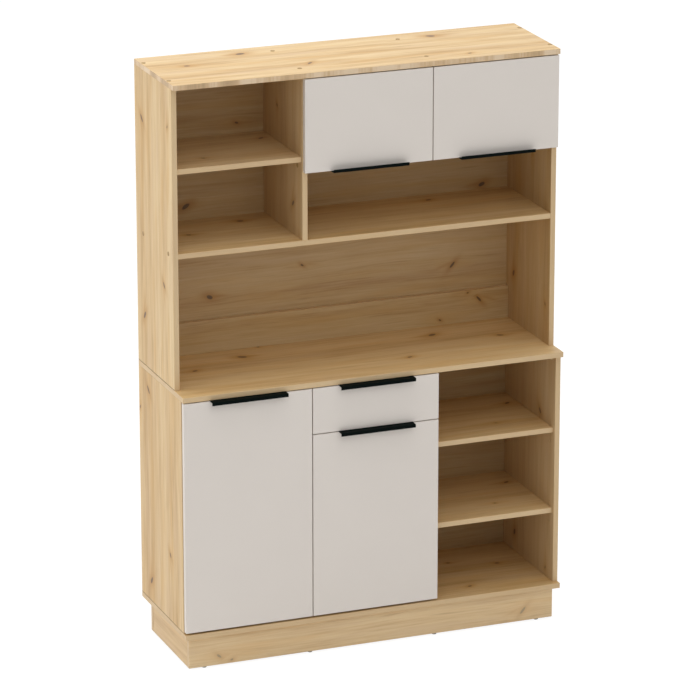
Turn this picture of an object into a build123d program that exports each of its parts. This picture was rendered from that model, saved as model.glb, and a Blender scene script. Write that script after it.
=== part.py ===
import os
from math import cos, radians, sin, sqrt

from build123d import *

os.makedirs("parts", exist_ok=True)

# Carcass boards
width = 1200.0
depth = 397.0
board = 16.0
back_board = 3.0
edge_ease = 0.5
joint_groove = 1.2
back_inset = 2.0

# Heights, from the floor up
foot_height = 4.0
foot_radius = 7.0
plinth_height = 97.5
base_side_height = 718.5
hutch_side_height = 900.0
niche_height = 396.0
flap_niche_height = 206.0

# Plinth
plinth_side_inset = 16.0
plinth_front_inset = 20.5
plinth_back_inset = 36.5
plinth_corner_gap = 2.5
foot_end_inset = 50.0

# Hutch
hutch_set_back = 73.0
hutch_divider_reveal = 1.8
flap_offset = 1.7
rail_height = 100.0
hutch_shelf_lift = 10.0
hutch_shelf_set_back = 6.0

# Adjustable shelves and their pins
shelf_set_back = 13.5
shelf_end_gap = 0.5
shelf_back_gap = 0.5
left_shelf_rise = 332.5
middle_shelf_rise = 262.5
open_shelf_rise = 217.5
open_shelf_pitch = 256.0
pin_radius = 2.5
pin_fit = 0.05
pin_depth = 7.0
pin_reach = 7.0
pin_hole_pitch = 32.0
pin_hole_extra = 0.5
pin_front_inset = 37.0
pin_back_inset = 60.0

# Fronts: doors, drawer front and flaps
front_board = 16.0
front_gap = 3.0
door_bottom_gap = 6.0
drawer_front_height = 140.0

# Edge-pull handles, bent from sheet
handle_length = 235.0
handle_reach = 21.5
handle_seat = 14.0
handle_sheet = 2.0
handle_lip = 10.0
handle_bend = 2.5
handle_top_clearance = 1.0
handle_gap_clearance = 1.2

# Cup hinges
cup_radius = 17.5
cup_fit = 0.1
cup_depth = 12.0
cup_wall = 0.9
cup_pin_offset = 13.5
cup_wing = 1.0
cup_wing_start = 5.0
cup_wing_width = 24.0
cup_wing_length = 54.0
hinge_pin_radius = 1.2
hinge_pin_fit = 0.05
hinge_eye_radius = 1.9
hinge_floor_gap = 0.1
hinge_arm_width = 8.0
hinge_arm_sheet = 2.0
hinge_leg_clearance = 1.6
hinge_plate = 3.1
hinge_plate_start = 18.0
hinge_plate_length = 34.0
hinge_plate_width = 16.0
hinge_wing_length = 52.0
hinge_wing_width = 11.0
hinge_wing_sheet = 2.0
front_sweep_clearance = 0.6
flap_sweep_clearance = 0.3
door_hinge_inset = 100.0
flap_hinge_inset = 80.0

# Flap struts
strut_circle = 140.0
strut_stud_offset = 14.0
strut_fan = 72.0
strut_wall_offset = 14.0
strut_tube_radius = 6.0
strut_bore_radius = 5.0
strut_rod_radius = 3.0
strut_rod_fit = 0.1
strut_piston_fit = 0.2
strut_piston_length = 6.0
strut_guide_length = 6.0
strut_eye_radius = 5.0
strut_eye_width = 6.0
strut_tube_base = 9.0
strut_end_gap = 3.0
strut_stud_radius = 2.5
strut_stud_fit = 0.08
strut_side_gap = 0.5
strut_bracket = 2.0
strut_bracket_length = 30.0
strut_bracket_width = 18.0

# Drawer box and its telescopic slides
slide_length = 350.0
slide_thickness = 12.7
slide_height = 45.0
slide_sheet = 1.2
slide_gap = 0.4
slide_tip_gap = 0.5
slide_set_back = 1.0
drawer_board = 12.0
drawer_side_height = 100.0
drawer_box_rise = 14.0
drawer_bottom = 3.0
drawer_groove_rise = 10.0
drawer_groove_depth = 6.0
drawer_groove_end_gap = 0.5

# Carcass screws, their caps and the corner blocks
screw_length = 50.0
screw_head_radius = 5.0
screw_head_depth = 3.0
screw_neck_radius = 3.5
screw_core_radius = 2.5
screw_fit = 0.05
screw_tip_gap = 1.0
cap_radius = 6.5
cap_thickness = 0.8
screw_front_inset = 40.0
screw_back_inset = 61.0
block_leg = 20.0
block_width = 20.0
block_nose = 3.0
block_front_inset = 25.0
block_back_inset = 50.0

# Hinge pivot, seen from the hinged edge and from the front face of a door or flap
hinge_rear = cup_depth - cup_wall - cup_fit - hinge_eye_radius - hinge_floor_gap
pivot_depth = front_board - hinge_rear
hinge_leg = hinge_rear + hinge_leg_clearance
pivot_inset = board - front_gap / 2 + hinge_plate - hinge_leg
cup_inset = pivot_inset + cup_pin_offset
front_stand_off = pivot_depth + sqrt(pivot_inset**2 + hinge_rear**2) - front_board + front_sweep_clearance
flap_top_gap = sqrt(pivot_inset**2 + pivot_depth**2) - pivot_inset + flap_sweep_clearance
front_top_gap = handle_sheet + handle_top_clearance
drawer_gap = handle_sheet + handle_gap_clearance

# Planes of the carcass
x_left = -width / 2
x_right = width / 2
y_front = (handle_reach - depth - back_board) / 2
y_back = y_front + depth
y_base = y_front + front_board + front_stand_off
y_hutch = y_front + hutch_set_back
y_hutch_top = y_hutch - front_board - front_stand_off
z_plinth = foot_height
z_bottom = z_plinth + plinth_height
z_base = z_bottom + board
z_worktop = z_base + base_side_height
z_hutch = z_worktop + board
z_long_shelf = z_hutch + niche_height
z_upper = z_long_shelf + board
z_top = z_hutch + hutch_side_height
z_flap_bottom = z_upper + flap_niche_height
z_flap_floor = z_flap_bottom + handle_sheet
z_flap_top = z_top - flap_top_gap
module = width / 3
x_first = x_left + module
x_second = x_left + 2 * module
x_flap = x_first + front_gap / 2 - flap_offset
x_hutch_divider = x_flap - hutch_divider_reveal
inner_left = x_left + board
inner_right = x_right - board


def keep(piece, label):
    """Name a finished piece and write it."""
    piece.part.label = label
    export_step(piece.part, f"parts/{label}.step")


def block_between(low, high, mode=Mode.ADD):
    """A rectangular block between two opposite corners."""
    size = [b - a for a, b in zip(low, high)]
    middle = [(a + b) / 2 for a, b in zip(low, high)]
    with Locations(tuple(middle)):
        Box(*size, mode=mode)


def plain_board(low, high):
    """A board between two opposite corners, with all its sharp edges eased."""
    with BuildPart() as piece:
        block_between(low, high)
        chamfer(piece.edges(), edge_ease)
    return piece


def standing_side(low, high, x_outer, way):
    """An outer side: its outer foot is bevelled more, so a fine groove shows where it stands."""
    with BuildPart() as piece:
        block_between(low, high)
        chamfer(piece.edges(), edge_ease)
        with BuildSketch(Plane.XZ.offset(-low[1])):
            with BuildLine():
                Polyline(
                    (x_outer, low[2]),
                    (x_outer + way * joint_groove, low[2]),
                    (x_outer, low[2] + joint_groove),
                    close=True,
                )
            make_face()
        extrude(amount=low[1] - high[1], mode=Mode.SUBTRACT)
    return piece


def drilled(piece, screws=(), pins=()):
    """The same board with its stepped screw holes and its blind shelf-pin holes."""
    with BuildPart() as result:
        add(piece.part)
        if screws:
            with Locations(*screws):
                CounterBoreHole(
                    screw_neck_radius + screw_fit, screw_head_radius + screw_fit, screw_head_depth, board
                )
                Hole(screw_core_radius + screw_fit, depth=screw_length + screw_tip_gap)
        if pins:
            with Locations(*pins):
                Hole(pin_radius, depth=pin_depth + pin_hole_extra)
    return result


def facing(point, direction):
    """A plane at a point whose normal is the given direction."""
    return Plane(origin=point, z_dir=direction)


# Screw heads: rows of two, at the front and at the back of each joint
def screw_pair(x, z, direction, y_start):
    """The two head planes of a joint whose boards start at y_start."""
    rows = (y_start + screw_front_inset, y_back - screw_back_inset)
    return [facing((x, y, z), direction) for y in rows]


up = (0, 0, 1)
down = (0, 0, -1)
leftward = (-1, 0, 0)
rightward = (1, 0, 0)
half = board / 2
x_base_verticals = (x_left + half, x_first, x_second - half, x_right - half)
x_hutch_verticals = (x_left + half, x_hutch_divider + half, x_second, x_right - half)
top_screws = [screw_pair(x, z_top + board, up, y_hutch) for x in x_hutch_verticals]
bottom_screws = [screw_pair(x, z_bottom, down, y_base) for x in x_base_verticals]
shelf_screws_left = screw_pair(x_left, z_long_shelf + half, leftward, y_hutch)
shelf_screws_right = screw_pair(x_right, z_long_shelf + half, rightward, y_hutch)
foot_screws_left = screw_pair(x_left + half, z_worktop, down, y_hutch)
foot_screws_right = screw_pair(x_right - half, z_worktop, down, y_hutch)
divider_screws = screw_pair(x_hutch_divider + half, z_long_shelf, down, y_hutch)
partition_screws = screw_pair(x_second, z_flap_floor, down, y_hutch)
floor_screws_left = screw_pair(x_hutch_divider, z_flap_floor + half, leftward, y_hutch)
floor_screws_right = screw_pair(x_right, z_flap_floor + half, rightward, y_hutch)
all_top_screws = sum(top_screws, [])
all_bottom_screws = sum(bottom_screws, [])
side_screws = shelf_screws_left + shelf_screws_right + floor_screws_left + floor_screws_right
capped_screws = all_top_screws + side_screws
hidden_screws = all_bottom_screws + foot_screws_left + foot_screws_right + divider_screws + partition_screws

# Undersides of the adjustable shelves
z_left_shelf = z_base + left_shelf_rise
z_middle_shelf = z_base + middle_shelf_rise
z_open_lower = z_base + open_shelf_rise
z_open_upper = z_open_lower + open_shelf_pitch
z_hutch_shelf = z_flap_floor + board + hutch_shelf_lift
base_pin_rows = (y_base + pin_front_inset, y_back - pin_back_inset)
hutch_pin_rows = (y_hutch + pin_front_inset, y_back - pin_back_inset)


def pin_planes(x, direction, rows, z_shelf, steps=(0,)):
    """Pin positions on one face of a board, under a shelf or some pitches above and below it."""
    z_pin = z_shelf - pin_radius
    return [facing((x, y, z_pin + step * pin_hole_pitch), direction) for y in rows for step in steps]


# Each bay that holds shelves: its two inner faces, its rows and the undersides of its shelves
shelf_bays = {
    "left": (inner_left, x_first - half, base_pin_rows, [z_left_shelf]),
    "middle": (x_first + half, x_second - board, base_pin_rows, [z_middle_shelf]),
    "open": (x_second, inner_right, base_pin_rows, [z_open_lower, z_open_upper]),
    "hutch": (inner_left, x_hutch_divider, hutch_pin_rows, [z_hutch_shelf]),
}
hole_steps = (-1, 0, 1)


def bay_pins(bay, side, steps=(0,)):
    """Pin planes on one inner face of a bay: side 0 is its left face, side 1 its right face."""
    x_face = shelf_bays[bay][side]
    rows = shelf_bays[bay][2]
    shelves = shelf_bays[bay][3]
    direction = leftward if side else rightward
    return [plane for z in shelves for plane in pin_planes(x_face, direction, rows, z, steps)]


# Base carcass
worktop = plain_board((x_left, y_front, z_worktop), (x_right, y_back, z_hutch))
worktop = drilled(worktop, screws=foot_screws_left + foot_screws_right)
keep(worktop, "worktop")

base_bottom = plain_board((x_left, y_front, z_bottom), (x_right, y_back, z_base))
base_bottom = drilled(base_bottom, screws=all_bottom_screws)
keep(base_bottom, "base_bottom")

base_left_side = standing_side((x_left, y_base, z_base), (inner_left, y_back, z_worktop), x_left, 1)
base_left_side = drilled(base_left_side, bottom_screws[0], bay_pins("left", 0, hole_steps))
keep(base_left_side, "base_left_side")

base_right_side = standing_side((inner_right, y_base, z_base), (x_right, y_back, z_worktop), x_right, -1)
base_right_side = drilled(base_right_side, bottom_screws[3], bay_pins("open", 1, hole_steps))
keep(base_right_side, "base_right_side")

base_divider_left = plain_board((x_first - half, y_base, z_base), (x_first + half, y_back, z_worktop))
divider_left_pins = bay_pins("left", 1, hole_steps) + bay_pins("middle", 0, hole_steps)
base_divider_left = drilled(base_divider_left, bottom_screws[1], divider_left_pins)
keep(base_divider_left, "base_divider_left")

base_divider_right = plain_board((x_second - board, y_base, z_base), (x_second, y_back, z_worktop))
divider_right_pins = bay_pins("middle", 1, hole_steps) + bay_pins("open", 0, hole_steps)
base_divider_right = drilled(base_divider_right, bottom_screws[2], divider_right_pins)
keep(base_divider_right, "base_divider_right")

z_back_joint = z_worktop + half
base_back = plain_board(
    (x_left + back_inset, y_back, z_bottom + back_inset),
    (x_right - back_inset, y_back + back_board, z_back_joint),
)
keep(base_back, "base_back")


def shelf_board(bay, z, y_start):
    """A loose shelf that lies on its pins between the two faces of a bay."""
    x_low = shelf_bays[bay][0] + shelf_end_gap
    x_high = shelf_bays[bay][1] - shelf_end_gap
    return plain_board((x_low, y_start, z), (x_high, y_back - shelf_back_gap, z + board))


y_base_shelf = y_base + shelf_set_back
keep(shelf_board("left", z_left_shelf, y_base_shelf), "left_cupboard_shelf")
keep(shelf_board("middle", z_middle_shelf, y_base_shelf), "middle_cupboard_shelf")
keep(shelf_board("open", z_open_lower, y_base_shelf), "open_shelf_lower")
keep(shelf_board("open", z_open_upper, y_base_shelf), "open_shelf_upper")
keep(shelf_board("hutch", z_hutch_shelf, y_hutch + hutch_shelf_set_back), "hutch_left_shelf")

# Plinth frame and its glides
px_left = x_left + plinth_side_inset
px_right = x_right - plinth_side_inset
py_front = y_front + plinth_front_inset
py_back = y_back - plinth_back_inset
py_inner_front = py_front + board
py_inner_back = py_back - board
keep(plain_board((px_left, py_front, z_plinth), (px_right, py_inner_front, z_bottom)), "plinth_front")
keep(plain_board((px_left, py_inner_back, z_plinth), (px_right, py_back, z_bottom)), "plinth_back")
py_side_end = py_inner_back - plinth_corner_gap
keep(plain_board((px_left, py_inner_front, z_plinth), (px_left + board, py_side_end, z_bottom)), "plinth_left")
px_right_inner = px_right - board
keep(plain_board((px_right_inner, py_inner_front, z_plinth), (px_right, py_side_end, z_bottom)), "plinth_right")

with BuildPart() as plinth_stretchers:
    for x in (x_first, x_second):
        block_between((x - half, py_inner_front, z_plinth), (x + half, py_inner_back, z_bottom))
    chamfer(plinth_stretchers.edges(), edge_ease)
keep(plinth_stretchers, "plinth_stretchers")

foot_x = (px_left + foot_end_inset, x_first, x_second, px_right - foot_end_inset)
foot_y = (py_front + half, py_back - half)
with BuildPart() as feet:
    with Locations(*[(x, y, foot_height / 2) for x in foot_x for y in foot_y]):
        Cylinder(foot_radius, foot_height)
    chamfer(feet.edges().group_by(Axis.Z)[0], edge_ease)
keep(feet, "feet")

# Hutch carcass
hutch_top = plain_board((x_left, y_hutch_top, z_top), (x_right, y_back, z_top + board))
hutch_top = drilled(hutch_top, screws=all_top_screws)
keep(hutch_top, "hutch_top")

hutch_left_side = standing_side((x_left, y_hutch, z_hutch), (inner_left, y_back, z_top), x_left, 1)
left_side_screws = top_screws[0] + foot_screws_left + shelf_screws_left
hutch_left_side = drilled(hutch_left_side, left_side_screws, bay_pins("hutch", 0))
keep(hutch_left_side, "hutch_left_side")

hutch_right_side = standing_side((inner_right, y_hutch, z_hutch), (x_right, y_back, z_top), x_right, -1)
right_side_screws = top_screws[3] + foot_screws_right + shelf_screws_right + floor_screws_right
hutch_right_side = drilled(hutch_right_side, right_side_screws)
keep(hutch_right_side, "hutch_right_side")

hutch_long_shelf = plain_board((inner_left, y_hutch, z_long_shelf), (inner_right, y_back, z_upper))
hutch_long_shelf = drilled(hutch_long_shelf, shelf_screws_left + shelf_screws_right + divider_screws)
keep(hutch_long_shelf, "hutch_long_shelf")

x_hutch_inner = x_hutch_divider + board
hutch_divider = plain_board((x_hutch_divider, y_hutch, z_upper), (x_hutch_inner, y_back, z_top))
hutch_divider_screws = top_screws[1] + divider_screws + floor_screws_left
hutch_divider = drilled(hutch_divider, hutch_divider_screws, bay_pins("hutch", 1))
keep(hutch_divider, "hutch_divider")

z_flap_cupboard = z_flap_floor + board
flap_floor = plain_board((x_hutch_inner, y_hutch, z_flap_floor), (inner_right, y_back, z_flap_cupboard))
flap_floor = drilled(flap_floor, screws=partition_screws + floor_screws_left + floor_screws_right)
keep(flap_floor, "flap_floor")

flap_partition = plain_board((x_second - half, y_hutch, z_flap_cupboard), (x_second + half, y_back, z_top))
keep(drilled(flap_partition, screws=top_screws[2] + partition_screws), "flap_partition")

hutch_back = plain_board(
    (x_left + back_inset, y_back, z_back_joint),
    (x_right - back_inset, y_back + back_board, z_top + board - back_inset),
)
keep(hutch_back, "hutch_back")

z_rail = z_hutch + rail_height
hutch_back_rail = plain_board((inner_left, y_back - board, z_hutch), (inner_right, y_back, z_rail))
keep(hutch_back_rail, "hutch_back_rail")


# Cup hinges. In a hinge plane X runs from the hinged edge into the front, Y from its face to its back,
# and Z along the hinge axis.
def hinge_plane(edge, inward, axis):
    return Plane(origin=edge, x_dir=inward, z_dir=axis)


def cup_plane(plane):
    """The plane of a cup's mouth: on the back of the front, facing backwards."""
    mouth = plane.from_local_coords(Vector(cup_inset, front_board, 0))
    return Plane(origin=mouth, x_dir=plane.x_dir, z_dir=plane.y_dir)


def hinged_front(low, high, planes):
    """A door or flap with the blind holes that its hinge cups sit in."""
    with BuildPart() as piece:
        block_between(low, high)
        chamfer(piece.edges(), edge_ease)
        with Locations(*[cup_plane(plane) for plane in planes]):
            Hole(cup_radius, depth=cup_depth)
    return piece


def hinge_cups(planes):
    """Pressed cups with a screw wing on the inner side and the pivot pin riveted across the bowl."""
    outer = cup_radius - cup_fit
    inner = outer - cup_wall
    floor = cup_depth - cup_fit
    pin_half = sqrt(outer**2 - (cup_pin_offset + hinge_pin_radius) ** 2)
    wing_x = -cup_pin_offset + cup_wing_start + cup_wing_width / 2
    with BuildPart() as cups:
        for plane in planes:
            mouth = cup_plane(plane)
            with BuildSketch(mouth):
                Circle(outer)
            extrude(amount=-floor)
            with BuildSketch(mouth):
                with Locations((wing_x, 0)):
                    RectangleRounded(cup_wing_width, cup_wing_length, cup_wing_width / 4)
            extrude(amount=cup_wing)
            with BuildSketch(mouth.offset(cup_wing)):
                Circle(inner)
            extrude(amount=-(floor - cup_wall + cup_wing), mode=Mode.SUBTRACT)
            with BuildSketch(plane):
                with Locations((pivot_inset, pivot_depth)):
                    Circle(hinge_pin_radius)
            extrude(amount=pin_half, both=True)
    return cups


def hinge_arms(planes, x_seat):
    """Hooked arms from the pivot pin back to a plate that is screwed to the board at x_seat."""
    leg_x = pivot_inset + hinge_leg
    half_sheet = hinge_arm_sheet / 2
    plate_y = front_board + front_stand_off + hinge_plate_start
    plate_end = plate_y + hinge_plate_length
    bar_end = leg_x + hinge_arm_sheet
    with BuildPart() as arms:
        for plane in planes:
            with BuildSketch(plane):
                with Locations((pivot_inset, pivot_depth)):
                    Circle(hinge_eye_radius)
                with Locations(((pivot_inset + bar_end) / 2, pivot_depth)):
                    Rectangle(bar_end - pivot_inset, hinge_arm_sheet)
                with Locations((leg_x + half_sheet, (pivot_depth - half_sheet + plate_end) / 2)):
                    Rectangle(hinge_arm_sheet, plate_end - pivot_depth + half_sheet)
                with Locations((pivot_inset, pivot_depth)):
                    Circle(hinge_pin_radius + hinge_pin_fit, mode=Mode.SUBTRACT)
            extrude(amount=hinge_arm_width / 2, both=True)
            with BuildSketch(plane):
                with Locations(((x_seat + leg_x) / 2, (plate_y + plate_end) / 2)):
                    Rectangle(leg_x - x_seat, hinge_plate_length)
            extrude(amount=hinge_plate_width / 2, both=True)
            with BuildSketch(plane):
                with Locations((x_seat + hinge_wing_sheet / 2, (plate_y + plate_end) / 2)):
                    Rectangle(hinge_wing_sheet, hinge_wing_width)
            extrude(amount=hinge_wing_length / 2, both=True)
    return arms


def pull_handle(x_middle, y_face, z_edge, way):
    """A sheet pull on a front's edge: way 1 is on a top edge with its lip down, way -1 under a bottom edge."""
    y_tip = y_face - handle_reach
    with BuildPart() as pull:
        with BuildSketch(Plane.YZ.offset(x_middle - handle_length / 2)):
            with BuildLine():
                Polyline(
                    (y_face + handle_seat, z_edge),
                    (y_face + handle_seat, z_edge + way * handle_sheet),
                    (y_tip, z_edge + way * handle_sheet),
                    (y_tip, z_edge - way * (handle_lip - handle_sheet)),
                    (y_tip + handle_sheet, z_edge - way * (handle_lip - handle_sheet)),
                    (y_tip + handle_sheet, z_edge),
                    close=True,
                )
            make_face()
        extrude(amount=handle_length)
        bends = pull.edges().filter_by(Axis.X)
        outer_bend = bends.sort_by_distance((x_middle, y_tip, z_edge + way * handle_sheet))[0]
        fillet(outer_bend, handle_bend)
        bends = pull.edges().filter_by(Axis.X)
        inner_bend = bends.sort_by_distance((x_middle, y_tip + handle_sheet, z_edge))[0]
        fillet(inner_bend, handle_bend - handle_sheet)
    return pull


# Left door, hinged on the left side
x_door = x_left + front_gap / 2
front_width = module - front_gap
z_front_low = z_base + door_bottom_gap
z_front_high = z_worktop - front_top_gap
z_drawer_low = z_front_high - drawer_front_height
z_middle_high = z_drawer_low - drawer_gap


def door_hinges(x_edge, inward, axis, z_high):
    heights = (z_front_low + door_hinge_inset, z_high - door_hinge_inset)
    return [hinge_plane((x_edge, y_front, z), inward, axis) for z in heights]


left_hinges = door_hinges(x_door, rightward, up, z_front_high)
left_door = hinged_front(
    (x_door, y_front, z_front_low), (x_door + front_width, y_front + front_board, z_front_high), left_hinges
)
keep(left_door, "left_door")
keep(hinge_cups(left_hinges), "left_door_hinge_cups")
keep(pull_handle(x_door + front_width / 2, y_front, z_front_high, 1), "left_door_handle")

# Middle door, hinged on the right-hand divider
x_middle = x_first + front_gap / 2
x_middle_end = x_middle + front_width
middle_hinges = door_hinges(x_middle_end, leftward, down, z_middle_high)
middle_door = hinged_front(
    (x_middle, y_front, z_front_low), (x_middle_end, y_front + front_board, z_middle_high), middle_hinges
)
keep(middle_door, "middle_door")
keep(hinge_cups(middle_hinges), "middle_door_hinge_cups")
keep(pull_handle(x_middle + front_width / 2, y_front, z_middle_high, 1), "middle_door_handle")
keep(hinge_arms(left_hinges + middle_hinges, board - front_gap / 2), "door_hinge_arms")

# Drawer: front, sides, back and bottom
drawer_front = plain_board(
    (x_middle, y_front, z_drawer_low), (x_middle_end, y_front + front_board, z_front_high)
)
keep(drawer_front, "drawer_front")
keep(pull_handle(x_middle + front_width / 2, y_front, z_front_high, 1), "drawer_handle")

bay_low = x_first + half
bay_high = x_second - board
box_low = bay_low + slide_thickness
box_high = bay_high - slide_thickness
box_inner_low = box_low + drawer_board
box_inner_high = box_high - drawer_board
y_box = y_front + front_board
y_slide = y_base + slide_set_back
y_box_end = y_slide + slide_length
z_box = z_drawer_low + drawer_box_rise
z_box_top = z_box + drawer_side_height
z_groove = z_box + drawer_groove_rise
z_groove_top = z_groove + drawer_bottom
with BuildPart() as drawer_sides:
    block_between((box_low, y_box, z_box), (box_inner_low, y_box_end, z_box_top))
    block_between((box_inner_high, y_box, z_box), (box_high, y_box_end, z_box_top))
    chamfer(drawer_sides.edges(), edge_ease)
    groove_low = box_inner_low - drawer_groove_depth
    groove_high = box_inner_high + drawer_groove_depth
    block_between((groove_low, y_box, z_groove), (groove_high, y_box_end, z_groove_top), Mode.SUBTRACT)
keep(drawer_sides, "drawer_sides")

drawer_bottom_board = plain_board(
    (groove_low + drawer_groove_end_gap, y_box, z_groove),
    (groove_high - drawer_groove_end_gap, y_box_end, z_groove_top),
)
keep(drawer_bottom_board, "drawer_bottom")
drawer_back_board = plain_board(
    (box_inner_low, y_box_end - drawer_board, z_groove_top), (box_inner_high, y_box_end, z_box_top)
)
keep(drawer_back_board, "drawer_back_board")

# Telescopic slides: three nested channels a side
z_slide = z_box + drawer_side_height / 2


def slide_channels(x_web, x_tip, half_height):
    """A pair of channels, web outwards at x_web and flange tips at x_tip, counted from each bay face."""
    with BuildPart() as channels:
        for x_face, way in ((bay_low, 1), (bay_high, -1)):
            with BuildSketch(Plane.XZ.offset(-y_slide)):
                with Locations((x_face + way * (x_web + x_tip) / 2, z_slide)):
                    Rectangle(abs(x_tip - x_web), 2 * half_height)
                sheet = slide_sheet if x_tip > x_web else -slide_sheet
                with Locations((x_face + way * (x_web + sheet + x_tip) / 2, z_slide)):
                    hollow_width = abs(x_tip - x_web) - slide_sheet
                    Rectangle(hollow_width, 2 * (half_height - slide_sheet), mode=Mode.SUBTRACT)
            extrude(amount=-slide_length)
    return channels


step = slide_sheet + slide_gap
outer_tip = slide_thickness - slide_sheet - slide_tip_gap - step
keep(slide_channels(0, outer_tip, slide_height / 2), "slide_outer_members")
middle_tip = slide_thickness - slide_sheet - slide_tip_gap
keep(slide_channels(step, middle_tip, slide_height / 2 - step), "slide_middle_members")
inner_tip = step + slide_sheet + slide_tip_gap
keep(slide_channels(slide_thickness, inner_tip, slide_height / 2 - 2 * step), "slide_inner_members")

# Lift-up flaps, hinged under the top board
flap_starts = {"left": x_flap, "right": x_flap + module}
flap_hinge_planes = []
for name, x_start in flap_starts.items():
    x_end = x_start + front_width
    hinge_x = (x_start + flap_hinge_inset, x_end - flap_hinge_inset)
    planes = [hinge_plane((x, y_hutch_top, z_flap_top), down, rightward) for x in hinge_x]
    flap = hinged_front(
        (x_start, y_hutch_top, z_flap_bottom), (x_end, y_hutch_top + front_board, z_flap_top), planes
    )
    keep(flap, f"flap_{name}")
    keep(hinge_cups(planes), f"flap_{name}_hinge_cups")
    keep(pull_handle(x_start + front_width / 2, y_hutch_top, z_flap_bottom, -1), f"flap_{name}_handle")
    flap_hinge_planes += planes
keep(hinge_arms(flap_hinge_planes, -flap_top_gap), "flap_hinge_arms")

# Gas struts. Both pivots lie on one circle about the flap's axis, so the strut turns by exactly half the
# angle of the flap, and its rod stays in line with its tube.
y_pivot = y_hutch_top + pivot_depth
z_pivot = z_flap_top - pivot_inset
stud_rear = hinge_rear + strut_stud_offset
stud_drop = sqrt(strut_circle**2 - stud_rear**2)
fan = radians(strut_fan)
anchor_rear = stud_rear * cos(fan) + stud_drop * sin(fan)
anchor_drop = stud_drop * cos(fan) - stud_rear * sin(fan)
strut_axis = Vector(0, stud_rear - anchor_rear, anchor_drop - stud_drop)
strut_length = strut_axis.length
tube_length = strut_length - strut_eye_radius - strut_end_gap
rod_length = strut_length - strut_tube_base - strut_end_gap
bore_start = strut_tube_base
guide_start = tube_length - strut_guide_length


def strut_eye(plane, x_middle):
    """An eye that turns on a stud along X, at a plane's origin."""
    with BuildSketch(Plane.YZ.offset(x_middle)) as eye:
        with Locations((plane.origin.Y, plane.origin.Z)):
            Circle(strut_eye_radius)
    extrude(eye.sketch, amount=strut_eye_width / 2, both=True)


def stud_bore(plane, x_middle):
    """The hole through an eye, with running clearance round its stud."""
    with BuildSketch(Plane.YZ.offset(x_middle)) as bore:
        with Locations((plane.origin.Y, plane.origin.Z)):
            Circle(strut_stud_radius + strut_stud_fit)
    extrude(bore.sketch, amount=strut_eye_width, both=True, mode=Mode.SUBTRACT)


strut_walls = {"left": (x_hutch_inner, 1), "right": (inner_right, -1)}
y_flap_back = y_hutch_top + front_board
for name, (x_wall, way) in strut_walls.items():
    x_strut = x_wall + way * strut_wall_offset
    anchor = Plane(
        origin=(x_strut, y_pivot + anchor_rear, z_pivot - anchor_drop), x_dir=(1, 0, 0), z_dir=strut_axis
    )
    stud = Plane(
        origin=(x_strut, y_pivot + stud_rear, z_pivot - stud_drop), x_dir=(1, 0, 0), z_dir=-strut_axis
    )
    with BuildPart() as tube:
        with BuildSketch(anchor.offset(strut_eye_radius / 2)):
            Circle(strut_tube_radius)
        extrude(amount=tube_length - strut_eye_radius / 2)
        with BuildSketch(anchor.offset(bore_start)):
            Circle(strut_bore_radius)
        extrude(amount=guide_start - bore_start, mode=Mode.SUBTRACT)
        with BuildSketch(anchor.offset(guide_start)):
            Circle(strut_rod_radius + strut_rod_fit)
        extrude(amount=strut_guide_length, mode=Mode.SUBTRACT)
        strut_eye(anchor, x_strut)
        stud_bore(anchor, x_strut)
    keep(tube, f"strut_{name}_tube")
    with BuildPart() as rod:
        with BuildSketch(stud):
            Circle(strut_rod_radius)
        extrude(amount=rod_length)
        with BuildSketch(stud.offset(rod_length - strut_piston_length)):
            Circle(strut_bore_radius - strut_piston_fit)
        extrude(amount=strut_piston_length)
        strut_eye(stud, x_strut)
        stud_bore(stud, x_strut)
    keep(rod, f"strut_{name}_rod")
    x_ear = x_strut + way * (strut_eye_width / 2 + strut_side_gap)
    with BuildPart() as stud_bracket:
        z_stud = stud.origin.Z
        half_length = strut_bracket_length / 2
        with BuildSketch(Plane.YZ.offset(x_ear)):
            with Locations((stud.origin.Y, z_stud)):
                Circle(strut_eye_radius)
            with Locations(((y_flap_back + stud.origin.Y) / 2, z_stud)):
                Rectangle(stud.origin.Y - y_flap_back, 2 * strut_eye_radius)
        extrude(amount=way * strut_bracket)
        low_x, high_x = sorted((x_ear, x_ear + way * strut_bracket_width))
        block_between(
            (low_x, y_flap_back, z_stud - half_length),
            (high_x, y_flap_back + strut_bracket, z_stud + half_length),
        )
        with BuildSketch(Plane.YZ.offset(x_ear)):
            with Locations((stud.origin.Y, z_stud)):
                Circle(strut_stud_radius)
        extrude(amount=-way * (strut_eye_width + 2 * strut_side_gap))
    keep(stud_bracket, f"flap_{name}_strut_bracket")

with BuildPart() as strut_side_brackets:
    for x_wall, way in strut_walls.values():
        y_anchor = y_pivot + anchor_rear
        z_anchor = z_pivot - anchor_drop
        half_length = strut_bracket_length / 2
        half_plate = strut_bracket_width / 2
        low_x, high_x = sorted((x_wall, x_wall + way * strut_bracket))
        block_between(
            (low_x, y_anchor - half_length, z_anchor - half_plate),
            (high_x, y_anchor + half_length, z_anchor + half_plate),
        )
        with BuildSketch(Plane.YZ.offset(x_wall)):
            with Locations((y_anchor, z_anchor)):
                Circle(strut_stud_radius)
        extrude(amount=way * (strut_wall_offset + strut_eye_width / 2 + strut_side_gap))
keep(strut_side_brackets, "strut_side_brackets")

# Carcass screws, caps, shelf pins and corner blocks
with BuildPart() as carcass_screws:
    for plane in capped_screws + hidden_screws:
        with BuildSketch(plane):
            Circle(screw_head_radius)
        extrude(amount=-screw_head_depth)
        with BuildSketch(plane):
            Circle(screw_neck_radius)
        extrude(amount=-board)
        with BuildSketch(plane):
            Circle(screw_core_radius)
        extrude(amount=-screw_length)
keep(carcass_screws, "carcass_screws")

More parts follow.
